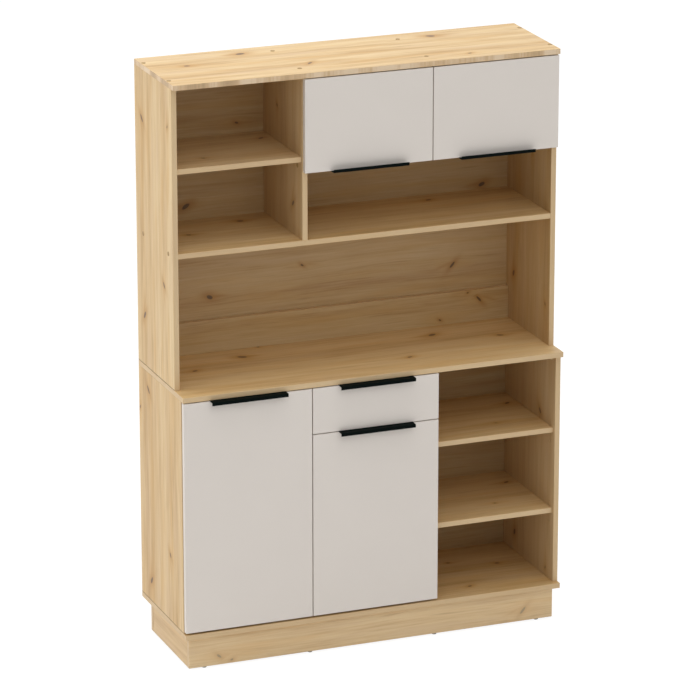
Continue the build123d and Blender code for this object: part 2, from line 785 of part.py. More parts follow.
with BuildPart() as screw_caps:
    for plane in capped_screws:
        with BuildSketch(plane):
            Circle(cap_radius)
        extrude(amount=cap_thickness)
keep(screw_caps, "screw_caps")

with BuildPart() as shelf_pins:
    for bay in shelf_bays:
        for plane in bay_pins(bay, 0) + bay_pins(bay, 1):
            with BuildSketch(plane.offset(-pin_depth)):
                Circle(pin_radius - pin_fit)
            extrude(amount=pin_depth + pin_reach)
keep(shelf_pins, "shelf_pins")

block_faces = ((inner_left, 1), (x_first - half, -1), (x_second, 1), (inner_right, -1))
block_rows = (y_base + block_front_inset, y_back - block_back_inset - block_width)
with BuildPart() as corner_blocks:
    for x_face, way in block_faces:
        for y_row in block_rows:
            with BuildSketch(Plane.XZ.offset(-y_row)):
                with BuildLine():
                    Polyline(
                        (x_face, z_worktop),
                        (x_face + way * block_leg, z_worktop),
                        (x_face + way * block_leg, z_worktop - block_nose),
                        (x_face + way * block_nose, z_worktop - block_leg),
                        (x_face, z_worktop - block_leg),
                        close=True,
                    )
                make_face()
            extrude(amount=-block_width)
keep(corner_blocks, "corner_blocks")
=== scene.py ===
from math import cos, radians, sin

import bpy
from mathutils import Matrix, Vector


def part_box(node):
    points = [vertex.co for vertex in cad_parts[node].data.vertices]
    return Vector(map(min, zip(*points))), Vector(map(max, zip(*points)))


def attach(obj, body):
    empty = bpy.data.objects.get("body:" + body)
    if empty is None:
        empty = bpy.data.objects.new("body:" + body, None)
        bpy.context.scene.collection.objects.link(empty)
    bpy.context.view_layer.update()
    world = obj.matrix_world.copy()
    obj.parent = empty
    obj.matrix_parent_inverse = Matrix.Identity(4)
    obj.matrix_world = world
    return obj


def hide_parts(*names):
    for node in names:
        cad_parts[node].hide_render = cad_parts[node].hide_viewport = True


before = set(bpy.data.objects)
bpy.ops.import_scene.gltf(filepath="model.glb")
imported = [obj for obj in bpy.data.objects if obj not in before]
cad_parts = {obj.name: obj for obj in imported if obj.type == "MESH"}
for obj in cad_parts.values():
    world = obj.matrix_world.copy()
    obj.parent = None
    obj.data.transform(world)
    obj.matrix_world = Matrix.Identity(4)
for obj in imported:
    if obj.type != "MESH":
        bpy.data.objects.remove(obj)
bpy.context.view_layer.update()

# Plinth: a frame of oak-look chipboard that lifts the cabinet clear of the floor.
# The front and back boards run full width and the side boards stop between them.
# Each board is chipboard faced with a printed oak laminate, with a plain strip on its cut edges.
X, Y, Z = range(3)


class Wire:
    """A socket of a finish's nodes. Sums with it add Math nodes to that finish."""

    def __init__(self, finish, socket):
        self.finish = finish
        self.socket = socket

    def output(self, name):
        return Wire(self.finish, self.socket.node.outputs[name])

    def math(self, operation, first, second=0.0):
        return self.finish.node("ShaderNodeMath", {"operation": operation}, {0: first, 1: second})

    def __add__(self, other):
        return self.math("ADD", self, other)

    def __radd__(self, other):
        return self.math("ADD", other, self)

    def __sub__(self, other):
        return self.math("SUBTRACT", self, other)

    def __rsub__(self, other):
        return self.math("SUBTRACT", other, self)

    def __mul__(self, other):
        return self.math("MULTIPLY", self, other)

    def __rmul__(self, other):
        return self.math("MULTIPLY", other, self)

    def __truediv__(self, other):
        return self.math("DIVIDE", self, other)

    def __gt__(self, other):
        return self.math("GREATER_THAN", self, other)

    def __abs__(self):
        return self.math("ABSOLUTE", self)

    def fading(self):
        """1 where the value is 0, falling away smoothly as it grows."""
        return self.math("EXPONENT", self * -1.0)


class Web:
    """A tree of nodes, which all come from node(), with the one that its values are fed to."""

    def __init__(self, tree, main):
        self.tree = tree
        self.main = tree.nodes[main]

    def feed(self, name, value, node=None):
        socket = (node or self.main).inputs[name]
        if isinstance(value, Wire):
            self.tree.links.new(value.socket, socket)
        else:
            socket.default_value = value

    def node(self, kind, settings=None, inputs=None, output=0):
        made = self.tree.nodes.new(kind)
        for name, value in (settings or {}).items():
            if name == "stops":
                ramp = made.color_ramp.elements
                while len(ramp) < len(value):
                    ramp.new(0.5)
                for stop, (position, colour) in zip(ramp, value):
                    stop.position = position
                    stop.color = (*colour, 1.0)
            else:
                setattr(made, name, value)
        for name, value in (inputs or {}).items():
            self.feed(name, value, made)
        return Wire(self, made.outputs[output])


class Finish(Web):
    """A material with one principled shader. Its even values are given by the names of their sockets."""

    def __init__(self, name, **even):
        self.material = bpy.data.materials.new(name)
        self.material.use_nodes = True
        super().__init__(self.material.node_tree, "Principled BSDF")
        for socket, value in even.items():
            self.feed(socket.replace("_", " "), value)

    def spot(self):
        """The place on the piece, as three wires in metres."""
        place = self.node("ShaderNodeTexCoord", output="Object")
        apart = self.node("ShaderNodeSeparateXYZ", inputs={0: place})
        return [apart.output(axis) for axis in "XYZ"]

    def noise(self, first, second, third, detail, roughness=0.5):
        vector = self.node("ShaderNodeCombineXYZ", inputs={0: first, 1: second, 2: third})
        inputs = {"Vector": vector, "Scale": 1.0, "Detail": detail, "Roughness": roughness}
        return self.node("ShaderNodeTexNoise", inputs=inputs)

    def specks(self, spot, rate, detail, roughness=0.5):
        """Noise of one grain size all round, with so many specks to the metre."""
        return self.noise(spot[X] * rate, spot[Y] * rate, spot[Z] * rate, detail, roughness)

    def layer(self, along, across, rates, seed, detail, roughness=0.5):
        """Noise drawn out along the grain, with so many features to the metre along and across."""
        return self.noise(along * rates[0], across * rates[1], seed, detail, roughness)

    def facing(self):
        """The way the surface looks, as a wire with outputs X, Y and Z."""
        normal = self.node("ShaderNodeTexCoord", output="Normal")
        return self.node("ShaderNodeSeparateXYZ", inputs={0: normal})

    def rise(self, value, low, high):
        """From 0 at low to 1 at high, eased at both ends; high may be the smaller."""
        settings = {"interpolation_type": "SMOOTHSTEP"}
        if low < high:
            return self.node("ShaderNodeMapRange", settings, {0: value, 1: low, 2: high})
        return 1.0 - self.node("ShaderNodeMapRange", settings, {0: value, 1: high, 2: low})

    def ramp(self, value, stops):
        return self.node("ShaderNodeValToRGB", {"stops": stops}, {0: value})

    def blend(self, amount, first, second):
        pair = [value if isinstance(value, Wire) else (*value, 1.0) for value in (first, second)]
        return self.node("ShaderNodeMix", {"data_type": "RGBA"}, {0: amount, 6: pair[0], 7: pair[1]}, 2)

    def relief(self, height, depth):
        bump = self.node("ShaderNodeBump", inputs={"Height": height, "Distance": depth, "Strength": 1.0})
        self.feed("Normal", bump)


def dress(finish, *nodes):
    """Give CAD pieces a finish in place of their plain colour."""
    for node in nodes:
        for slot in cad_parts[node].material_slots:
            slot.material = finish.material


oak_dark = (0.47, 0.268, 0.09)
oak_middle = (0.65, 0.443, 0.211)
oak_light = (0.76, 0.567, 0.308)
oak_golden = (0.665, 0.405, 0.14)
oak_rosy = (0.655, 0.46, 0.262)
vein_brown = (0.36, 0.19, 0.06)
knot_amber = (0.47, 0.235, 0.06)
knot_core = (0.06, 0.04, 0.026)
knot_ring = (0.15, 0.09, 0.045)
edge_strip = (0.68, 0.505, 0.305)
strip_pale = (0.79, 0.615, 0.42)
strip_dark = (0.52, 0.36, 0.205)
chip_dark = (0.30, 0.19, 0.085)
chip_middle = (0.56, 0.40, 0.215)
chip_pale = (0.72, 0.56, 0.34)
groove_painted_shade_brown = (0.12, 0.066, 0.03)
oak_shine = 0.35
oak_smoothest = 0.36
oak_roughening = 0.16
print_depth = 0.00006
board_shift = 1.7
board_shift_across = 0.61
oak_boards = 0

# Features of the print to the metre, along and across the grain, and how much each adds to its tone
wander_rates = (1.3, 3.0)
wander_width = 0.032
ripple_rates = (24.0, 60.0)
stave_rates = (0.25, 15.0)
stave_share = 0.34
streak_rates = (3.0, 46.0)
streak_share = 0.32
line_rates = (5.0, 190.0)
line_share = 0.34
line_relief = 0.6
cloud_rates = (2.6, 22.0)
golden_levels = (0.5, 0.72)
golden_share = 0.5
rosy_levels = (0.5, 0.3)
rosy_share = 0.45
vein_rates = (5.0, 90.0)
vein_levels = (0.6, 0.76)
vein_share = 0.45
pore_rates = (28.0, 1100.0)
pore_level = 0.66
pore_share = 0.13
pore_relief = 0.4
tone_middle = 0.485
tone_spread = 0.13
oak_stops = (
    (tone_middle - tone_spread, oak_dark),
    (tone_middle, oak_middle),
    (tone_middle + tone_spread, oak_light),
)

# Shape of a knot of size 1: core, worn rim, rings, the grain that bends round it, and its tail
knot_pitch_along = 0.24
knot_pitch_across = 0.115
knot_scatter = 0.9
knot_smallest = 0.55
knot_growth = 1.5
knot_crossing = 4.0
core_rates = (120.0, 190.0)
core_lean = 0.7
core_level = 0.45
core_limit = 1.25
core_share = 0.84
rim_wear = 0.009
rim_wear_across = 0.6
ring_rate = 17.0
ring_ripple = 7.0
bend_rates = (380.0, 4200.0)
bend_share = 0.85
bend_glow = 0.5
tail_offset = 0.03
tail_lean = 0.25
tail_ripple = 0.005
tail_rates = (1100.0, 40000.0)
tail_growth = 0.6
tail_even_share = 0.2
tail_streak_share = 0.8
halo_rate = 0.16
halo_share = 0.75

# Cut edges, raw edges and the painted shade of the joint groove at the foot of a side
edge_turn = 0.7
edge_strip_share = 0.64
strip_fibre_rates = (160.0, 6.0)
strip_fibre_share = 0.27
strip_patch_rates = (16.0, 2.0)
strip_patch_share = 0.73
strip_stops = ((0.34, strip_dark), (0.48, oak_rosy), (0.6, strip_pale))
chip_rate = 420.0
chip_stops = ((0.36, chip_dark), (0.47, chip_middle), (0.62, chip_pale))
groove_shade_height = 0.002
groove_shade_fade = 0.0032
groove_shade_share = 0.85


def oak_finish(
    name, grain, face, figure=1.0, knotted=0.0, painted_lighting=None, crossed_edges=False, foot=None, knots_at=()
):
    """Printed oak: grain runs along one axis, face is the axis that the wide faces look along.

    Knots are scattered by chance, or stand where they are given: along, across, size and lean.
    """
    global oak_boards
    oak_boards += 1
    shift = board_shift * oak_boards
    finish = Finish(name, Specular_IOR_Level=oak_shine)
    spot = finish.spot()
    along = spot[grain] + shift
    sideways = [axis for axis in (X, Y, Z) if axis != grain]
    across = spot[sideways[0]] + spot[sideways[1]] + board_shift_across * shift
    wander = finish.layer(along, across, wander_rates, seed=0.0, detail=1.0) - 0.5
    ripple = finish.layer(along, across, ripple_rates, seed=9.0, detail=2.0) - 0.5
    across = across + wander * wander_width

    # Where the nearest knot is: off_along and off_across from here, with its size and lean
    if knots_at:
        wide = X + Y + Z - grain - face
        present = 1.0
        nearest = None
        for knot_along, knot_across, girth, tilt in knots_at:
            this_along = spot[grain] - knot_along
            this_across = spot[wide] - knot_across
            apart = this_along * this_along + this_across * this_across * knot_crossing
            if nearest is None:
                off_along, off_across, size, lean, nearest = this_along, this_across, girth, tilt, apart
                continue
            closer = nearest - apart > 0.0
            off_along = off_along + (this_along - off_along) * closer
            off_across = off_across + (this_across - off_across) * closer
            size = size + (girth - size) * closer
            lean = lean + (tilt - lean) * closer
            nearest = apart.math("MINIMUM", nearest, apart)
    else:
        inputs = {0: along * (1 / knot_pitch_along), 1: across * (1 / knot_pitch_across)}
        cell = finish.node("ShaderNodeCombineXYZ", inputs=inputs)
        inputs = {"Vector": cell, "Scale": 1.0, "Randomness": knot_scatter}
        knots = finish.node("ShaderNodeTexVoronoi", {"voronoi_dimensions": "2D"}, inputs)
        centre = finish.node("ShaderNodeSeparateXYZ", inputs={0: knots.output("Position")})
        chance = finish.node("ShaderNodeSeparateColor", inputs={0: knots.output("Color")})
        off_along = along - centre.output("X") * knot_pitch_along
        off_across = across - centre.output("Y") * knot_pitch_across
        lean = chance.output("Blue") - 0.5
        size = chance.output("Green") * chance.output("Green") * knot_growth + knot_smallest
        present = chance.output("Red") > 1.0 - knotted

    # The knot's ringed core, the grain that bends round it and the amber tail to one side
    worn = ripple * rim_wear
    span_along = (off_along + worn) * core_rates[0]
    span_across = (off_across + off_along * lean * core_lean + worn * rim_wear_across) * core_rates[1]
    reach = (span_along * span_along + span_across * span_across) / (size * size)
    core = finish.rise(reach, core_limit, core_level) * present
    turn = reach.math("SQRT", reach) * ring_rate + ripple * ring_ripple
    rings = turn.math("SINE", turn) * 0.5 + 0.5
    bend = off_along * off_along * bend_rates[0] + off_across * off_across * bend_rates[1]
    bend = bend.fading() * present
    drift = off_along - (lean > 0.0) * (2 * tail_offset) + tail_offset
    tail_across = off_across + drift * lean * tail_lean + ripple * tail_ripple
    tail = drift * drift * tail_rates[0] + tail_across * tail_across * tail_rates[1]
    tail = tail.fading() * present * (size * tail_growth)
    across = across - off_across * bend * bend_share

    # Staves, streaks, fine lines and pores, all drawn out along the grain
    stave = finish.layer(along, across, stave_rates, seed=1.0, detail=1.0)
    streak = finish.layer(along, across, streak_rates, seed=2.0, detail=3.0, roughness=0.6)
    line = finish.layer(along, across, line_rates, seed=3.0, detail=4.0, roughness=0.65)
    cloud = finish.layer(along, across, cloud_rates, seed=4.0, detail=3.0)
    vein = finish.layer(along, across, vein_rates, seed=6.0, detail=2.0)
    pore = finish.layer(along, across, pore_rates, seed=5.0, detail=1.0)
    tone = stave * stave_share + streak * streak_share + line * line_share
    tone = (tone - tone_middle) * figure + tone_middle
    colour = finish.ramp(tone, oak_stops)
    golden = finish.rise(cloud, *golden_levels) * (golden_share * figure)
    colour = finish.blend(golden, colour, oak_golden)
    rosy = finish.rise(cloud, *rosy_levels) * (rosy_share * figure)
    colour = finish.blend(rosy, colour, oak_rosy)
    brown = finish.rise(vein, *vein_levels) * (vein_share * figure)
    colour = finish.blend(brown, colour, vein_brown)
    colour = finish.blend((pore > pore_level) * pore_share, colour, oak_dark)
    colour = finish.blend(bend * bend_glow, colour, oak_golden)
    colour = finish.blend(tail * (streak * tail_streak_share + tail_even_share), colour, knot_amber)
    halo = (reach * halo_rate).fading() * present * halo_share
    colour = finish.blend(halo, colour, knot_amber)
    colour = finish.blend(core * core_share, colour, finish.blend(rings, knot_core, knot_ring))
    before_painted_lighting = colour
    # Painted light and shade: the wash blends the board's colour paler on the plinth as painted light,
    # darker on inner boards as painted shade
    if painted_lighting:
        colour = finish.blend(painted_lighting[0], colour, painted_lighting[1])

    # Cut edges carry a plainer strip, or one printed across its length; those to the wall are raw
    looks = finish.facing()
    edge = edge_turn - abs(looks.output("XYZ"[face])) > 0.0
    if crossed_edges:
        length = spot[X] + spot[Y]
        fibre = finish.layer(length, spot[Z], strip_fibre_rates, seed=7.0, detail=3.0)
        patch = finish.layer(length, spot[Z], strip_patch_rates, seed=8.0, detail=1.0)
        strip = fibre * strip_fibre_share + patch * strip_patch_share
        colour = finish.blend(edge, colour, finish.ramp(strip, strip_stops))
    else:
        colour = finish.blend(edge, colour, finish.blend(edge_strip_share, before_painted_lighting, edge_strip))
    if face != Y:
        rear = looks.output("Y") > edge_turn
        chips = finish.specks(spot, chip_rate, detail=3.0, roughness=0.7)
        colour = finish.blend(rear, colour, finish.ramp(chips, chip_stops))
    # Painted shade: a dark brown line on the outer face just above the foot, as shade in the joint
    # groove
    if foot is not None:
        outside = looks.output("X") * spot[X] > 0.0
        groove_shade = finish.rise(spot[Z] - foot, groove_shade_fade, groove_shade_height) * outside
        colour = finish.blend(groove_shade * groove_shade_share, colour, groove_painted_shade_brown)
    finish.feed("Base Color", colour)
    finish.feed("Roughness", line * oak_roughening + oak_smoothest)
    finish.relief(line * line_relief + pore * pore_relief, print_depth)
    return finish


# A painted lighting wash is its strength and colour: paler for painted light, darker for painted shade;
# knots have their place along and across in metres, size and lean
# Painted light: the plinth boards are washed paler, as light thrown up from the floor
painted_light_pale = (0.98, 0.78, 0.52)
plinth_painted_light = (0.33, painted_light_pale)
plinth_side_painted_light = (0.15, painted_light_pale)
plinth_knots = ((-0.49, 0.031, 0.85, 0.9), (-0.45, 0.014, 0.6, -0.4), (0.488, 0.038, 1.1, -1.4))
plinth_figure = 1.5
plinth_oak = oak_finish("plinth_front_oak", X, Y, plinth_figure, painted_lighting=plinth_painted_light, knots_at=plinth_knots)
dress(plinth_oak, "plinth_front")
plinth_back_knots = 0.85
plinth_side_knots = 0.3
plinth_back_oak = oak_finish("plinth_back_oak", X, Y, knotted=plinth_back_knots, painted_lighting=plinth_painted_light)
dress(plinth_back_oak, "plinth_back")
plinth_side_oak = oak_finish("plinth_side_oak", Y, X, knotted=plinth_side_knots, painted_lighting=plinth_side_painted_light)
dress(plinth_side_oak, "plinth_left", "plinth_right", "plinth_stretchers")

# Glides: grey moulded plastic studs, nailed up into the plinth boards.
# They keep the board edges off a damp floor and let the cabinet slide into place.
glide_pale = (0.36, 0.36, 0.335)
glide_dull = (0.27, 0.27, 0.245)
moulded_cloud_rate = 90.0
moulded_cloud_share = 0.7
moulded_skin_rate = 1400.0
moulded_skin_share = 0.3
moulded_levels = (0.4, 0.6)
moulded_roughening = 0.16
moulded_skin_depth = 0.00002


def moulded_finish(name, pale, dull, roughness, **even):
    """Moulded plastic or painted metal: two close colours in soft clouds, over a fine skin."""
    finish = Finish(name, **even)
    spot = finish.spot()
    cloud = finish.specks(spot, moulded_cloud_rate, detail=3.0)
    skin = finish.specks(spot, moulded_skin_rate, detail=1.0)
    mix = finish.rise(cloud * moulded_cloud_share + skin * moulded_skin_share, *moulded_levels)
    finish.feed("Base Color", finish.blend(mix, pale, dull))
    finish.feed("Roughness", cloud * moulded_roughening + (roughness - moulded_roughening / 2))
    finish.relief(skin, moulded_skin_depth)
    return finish


dress(moulded_finish("glide_grey", glide_pale, glide_dull, roughness=0.55), "feet")

# Base carcass: bottom and worktop run over the ends of the sides, dividers stand between them.
# All are the same oak-look board; a thin fibreboard sheet, printed on its front only, closes the back.
calm = 0.8
calm_knots = 0.35
for board in ("base_divider_left", "base_divider_right"):
    dress(oak_finish(board + "_oak", Z, X, calm, calm_knots), board)
painted_shade_black = (0.0, 0.0, 0.0)
# Painted shade: the bottom board is darkened slightly, as shade inside the cupboards
bottom_painted_shade = (0.03, painted_shade_black)
bottom_knots = ((0.49, 0.038, 0.9, 0.3), (0.336, -0.114, 0.9, -0.4), (0.35, 0.093, 0.7, 0.2))
dress(oak_finish("base_bottom_oak", X, Z, calm, painted_lighting=bottom_painted_shade, knots_at=bottom_knots), "base_bottom")
worktop_knots = (
    (-0.308, 0.115, 1.7, 0.4),
    (-0.482, 0.04, 1.1, -0.3),
    (0.299, 0.109, 1.7, -0.6),
    (0.49, 0.034, 1.2, 0.5),
    (0.156, -0.067, 1.0, -0.4),
    (-0.23, 0.189, 0.6, 0.3),
)
dress(oak_finish("worktop_oak", X, Z, calm, knots_at=worktop_knots), "worktop")
base_left_knots = (
    (0.783, 0.12, 1.3, -1.1),
    (0.186, 0.114, 1.5, 0.8),
    (0.326, -0.06, 1.0, -0.9),
    (0.709, 0.197, 0.7, 0.3),
)
base_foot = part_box("base_left_side")[0].z
base_left_oak = oak_finish("base_left_side_oak", Z, X, foot=base_foot, knots_at=base_left_knots)
dress(base_left_oak, "base_left_side")
base_right_knots = ((0.631, -0.059, 1.1, -0.7), (0.178, 0.121, 1.3, 0.4), (0.144, -0.113, 0.6, 0.3))
faint = 0.6
# Painted shade: a grey wash darkens the base right side, hutch divider and hutch left shelf, as shade
grey_painted_shade = (0.12, (0.33, 0.34, 0.35))
base_right_oak = oak_finish(
    "base_right_side_oak", Z, X, faint, painted_lighting=grey_painted_shade, foot=base_foot, knots_at=base_right_knots
)
dress(base_right_oak, "base_right_side")

fibre_brown = (0.26, 0.155, 0.075)
fibre_tan = (0.36, 0.235, 0.125)
nail_steel = (0.42, 0.41, 0.39)
fleck_rates = (520.0, 640.0)
fleck_levels = (0.36, 0.64)
stain_rates = (5.0, 7.0)
stain_levels = (0.35, 0.7)
stain_share = 0.35
sheet_smoothest = 0.36
sheet_roughening = 0.2
sheet_knots = 0.28
nail_pitch = 0.125
nail_radius = 0.0028
nail_inset = 0.007


def sheet_finish(name, box, painted_lighting, knots_at=()):
    """Printed oak in front and bare fibreboard behind, with flush nails along the four edges."""
    # The printed front takes the painted shade wash; the bare rear does not
    finish = oak_finish(name, X, Y, calm, sheet_knots, painted_lighting, knots_at=knots_at)
    printed = Wire(finish, finish.main.inputs["Base Color"].links[0].from_socket)
    spot = finish.spot()
    rear = finish.facing().output("Y") > edge_turn
    flecks = finish.layer(spot[X], spot[Z], fleck_rates, seed=3.0, detail=3.0, roughness=0.7)
    bare = finish.blend(finish.rise(flecks, *fleck_levels), fibre_brown, fibre_tan)
    stain = finish.layer(spot[X], spot[Z], stain_rates, seed=8.0, detail=3.0)
    bare = finish.blend(finish.rise(stain, *stain_levels) * stain_share, bare, fibre_tan)
    nails = None
    for axis, other in ((X, Z), (Z, X)):
        length = box[1][axis] - box[0][axis] - 2 * nail_inset
        pitch = length / round(length / nail_pitch)
        step = (spot[axis] - (box[0][axis] + nail_inset)) * (1 / pitch)
        step = (step - step.math("ROUND", step)) * pitch
        middle = (box[0][other] + box[1][other]) / 2
        reach = (box[1][other] - box[0][other]) / 2 - nail_inset
        off = abs(spot[other] - middle) - reach
        head = nail_radius * nail_radius - (step * step + off * off) > 0.0
        nails = head if nails is None else nails.math("MAXIMUM", nails, head)
    bare = finish.blend(nails, bare, nail_steel)
    finish.feed("Base Color", finish.blend(rear, printed, bare))
    finish.feed("Roughness", flecks * sheet_roughening + sheet_smoothest)
    return finish


# Painted shade: the base back sheet is darkened, as shade at the back of the cupboards and bays
base_sheet_painted_shade = (0.3, painted_shade_black)
dress(sheet_finish("base_back_oak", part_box("base_back"), base_sheet_painted_shade), "base_back")

# Loose shelves: they lie on steel pins and can be moved up or down a hole.
# Small moulded blocks screw the worktop down to the sides and dividers.
open_shelf_knots = ((0.547, 0.105, 1.1, -0.5), (0.441, -0.056, 0.45, 0.3))
hutch_shelf_knots = ((-0.238, 0.129, 1.2, -0.7), (-0.47, -0.02, 0.7, 0.4))
for shelf, painted_lighting, knots_at in (
    ("open_shelf_lower", None, open_shelf_knots),
    ("open_shelf_upper", None, open_shelf_knots),
    ("left_cupboard_shelf", None, ()),
    ("middle_cupboard_shelf", None, ()),
    ("hutch_left_shelf", grey_painted_shade, hutch_shelf_knots),
):
    dress(oak_finish(shelf + "_oak", X, Z, calm, calm_knots, painted_lighting, knots_at=knots_at), shelf)
pin_pale = (0.74, 0.70, 0.60)
pin_dull = (0.60, 0.56, 0.46)
dress(moulded_finish("pin_nickel", pin_pale, pin_dull, roughness=0.4, Metallic=0.7), "shelf_pins")
zinc_blue = (0.62, 0.64, 0.67)
zinc_yellow = (0.68, 0.66, 0.58)
zinc = moulded_finish("zinc", zinc_blue, zinc_yellow, roughness=0.36, Metallic=1.0)
dress(zinc, "carcass_screws")
block_tan = (0.62, 0.45, 0.25)
block_dull = (0.55, 0.39, 0.21)
dress(moulded_finish("block_tan", block_tan, block_dull, roughness=0.5), "corner_blocks")

# Hutch carcass: sides stand on the worktop, the top board runs over them.
# The long shelf, divider, partition and flap floor are fixed between, with a rail at the back.
divider_knots = ((1.357, -0.039, 1.2, 1.0), (1.62, 0.09, 0.7, -0.5))
long_shelf_knots = ((-0.492, 0.059, 1.0, 0.3), (-0.301, 0.142, 1.4, 0.2), (0.301, 0.149, 1.2, -0.3))
hutch_divider_oak = oak_finish("hutch_divider_oak", Z, X, faint, painted_lighting=grey_painted_shade, knots_at=divider_knots)
dress(hutch_divider_oak, "hutch_divider")
for board, grain, face, knots_at in (
    ("flap_partition", Z, X, ()),
    ("hutch_long_shelf", X, Z, long_shelf_knots),
    ("flap_floor", X, Z, ()),
):
    dress(oak_finish(board + "_oak", grain, face, calm, calm_knots, knots_at=knots_at), board)
hutch_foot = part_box("hutch_left_side")[0].z
hutch_left_knots = (
    (1.605, 0.147, 1.3, -1.1),
    (1.634, -0.079, 0.6, 0.4),
    (1.15, -0.034, 1.0, -0.9),
    (1.008, 0.142, 1.4, 0.9),
)
hutch_left_oak = oak_finish("hutch_left_side_oak", Z, X, foot=hutch_foot, knots_at=hutch_left_knots)
dress(hutch_left_oak, "hutch_left_side")
# Painted shade: the back rail is darkened, as shade at the back of the hutch
rail_painted_shade = (0.18, painted_shade_black)
rail_knots = ((0.488, 0.921, 1.0, 1.4), (0.36, 0.868, 0.5, 0.5), (0.451, 0.945, 0.45, -0.4))
rail_oak = oak_finish("hutch_back_rail_oak", X, Y, calm, painted_lighting=rail_painted_shade, knots_at=rail_knots)
dress(rail_oak, "hutch_back_rail")
# Painted shade: the hutch right side is darkened with a warm brown, as shade on its inner face
warm_painted_shade = (0.24, (0.12, 0.05, 0.015))
hutch_right_knots = ((1.004, 0.152, 1.3, 0.5), (0.974, -0.085, 0.6, -0.3), (1.42, 0.02, 0.6, 0.4))
hutch_right_oak = oak_finish(
    "hutch_right_side_oak", Z, X, calm, painted_lighting=warm_painted_shade, foot=hutch_foot, knots_at=hutch_right_knots
)
dress(hutch_right_oak, "hutch_right_side")
top_knots = (
    (-0.486, 0.068, 1.1, 0.3),
    (-0.295, 0.147, 1.8, -0.2),
    (-0.144, -0.028, 1.2, -1.2),
    (0.304, 0.148, 1.8, 0.3),
    (0.333, -0.087, 0.8, -0.4),
)
bold = 1.3
dress(oak_finish("hutch_top_oak", X, Z, bold, crossed_edges=True, knots_at=top_knots), "hutch_top")
# Painted shade: the hutch back sheet is darkened, as shade inside the hutch
hutch_sheet_painted_shade = (0.2, (0.04, 0.05, 0.06))
hutch_sheet_knots = (
    (-0.374, 1.019, 1.3, 0.3),
    (-0.081, 1.086, 0.55, 0.8),
    (0.405, 1.033, 1.05, -1.3),
    (-0.446, 1.307, 1.4, -0.6),
    (0.5, 1.278, 1.3, -0.5),
    (-0.287, 1.545, 0.7, 0.3),
)
hutch_sheet = sheet_finish("hutch_back_oak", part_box("hutch_back"), hutch_sheet_painted_shade, hutch_sheet_knots)
dress(hutch_sheet, "hutch_back")

# Fronts: doors, drawer front and flaps, in board faced with a matt pale greige laminate.
# Their edges are lipped in the same colour, a touch deeper and warmer than the faces.
greige_pale = (0.80, 0.74, 0.68)
greige_deep = (0.785, 0.726, 0.667)
lipping = (0.775, 0.716, 0.65)
laminate_grit_rate = 900.0
laminate_grit_share = 0.7
laminate_cloud_rate = 7.0
laminate_cloud_share = 0.3
laminate_levels = (0.38, 0.62)
laminate_shine = 0.3
laminate_smoothest = 0.43
laminate_roughening = 0.1
laminate_depth = 0.00002
greige = Finish("greige_laminate", Specular_IOR_Level=laminate_shine)
spot = greige.spot()
grit = greige.specks(spot, laminate_grit_rate, detail=2.0)
cloud = greige.specks(spot, laminate_cloud_rate, detail=2.0)
mix = greige.rise(grit * laminate_grit_share + cloud * laminate_cloud_share, *laminate_levels)
colour = greige.blend(mix, greige_pale, greige_deep)
edge = edge_turn - abs(greige.facing().output("Y")) > 0.0
greige.feed("Base Color", greige.blend(edge, colour, lipping))
greige.feed("Roughness", grit * laminate_roughening + laminate_smoothest)
greige.relief(grit, laminate_depth)
dress(greige, "left_door", "middle_door", "drawer_front", "flap_left", "flap_right")

# Pulls: black anodised aluminium sheet, bent to a lip and screwed to the edge of each front.
# The sheet is brushed along its length before it is dyed.
pull_black = (0.0025, 0.0048, 0.0042)
pull_worn = (0.005, 0.0085, 0.0075)
brushing_rates = (14.0, 1800.0, 1800.0)
brushing_levels = (0.45, 0.65)
brushing_depth = 0.00001
pull_shine = 0.02
pull_smoothest = 0.42
pull_roughening = 0.2
anodised = Finish("pull_black", Specular_IOR_Level=pull_shine)
spot = anodised.spot()
brushing = anodised.noise(*[place * rate for place, rate in zip(spot, brushing_rates)], detail=2.0)
worn = anodised.rise(brushing, *brushing_levels)
anodised.feed("Base Color", anodised.blend(worn, pull_black, pull_worn))
anodised.feed("Roughness", brushing * pull_roughening + pull_smoothest)
anodised.relief(brushing, brushing_depth)
dress(
    anodised,
    "left_door_handle",
    "middle_door_handle",
    "drawer_handle",
    "flap_left_handle",
    "flap_right_handle",
)

# Hinges: pressed steel cups let into the fronts, and arms on plates, all nickel plated.
# The plate keeps faint marks of the press and a warm cast.
nickel_warm = (0.70, 0.67, 0.61)
nickel_grey = (0.60, 0.59, 0.57)
nickel = moulded_finish("nickel", nickel_warm, nickel_grey, roughness=0.28, Metallic=1.0)
dress(
    nickel,
    "left_door_hinge_cups",
    "middle_door_hinge_cups",
    "flap_left_hinge_cups",
    "flap_right_hinge_cups",
    "door_hinge_arms",
    "flap_hinge_arms",
)

# Hinge screws: pan heads with a cross recess, two to each cup and two to each plate.
# They are nickel-plated steel, driven into the fronts and the carcass.
screw_radius = 0.0034
screw_height = 0.0013
screw_round = 0.0008
screw_sides = 20
recess_length = 0.0036
recess_width = 0.0008
recess_height = 0.0014


def pick(piece, kind, lowest):
    """In edit mode, select just the edges or faces of a piece that lie above a height."""
    bpy.ops.object.mode_set(mode="EDIT")
    bpy.ops.mesh.select_mode(type=kind)
    bpy.ops.mesh.select_all(action="DESELECT")
    bpy.ops.object.mode_set(mode="OBJECT")
    for part in piece.data.edges if kind == "EDGE" else piece.data.polygons:
        part.select = all(piece.data.vertices[corner].co.z > lowest for corner in part.vertices)
    bpy.ops.object.mode_set(mode="EDIT")


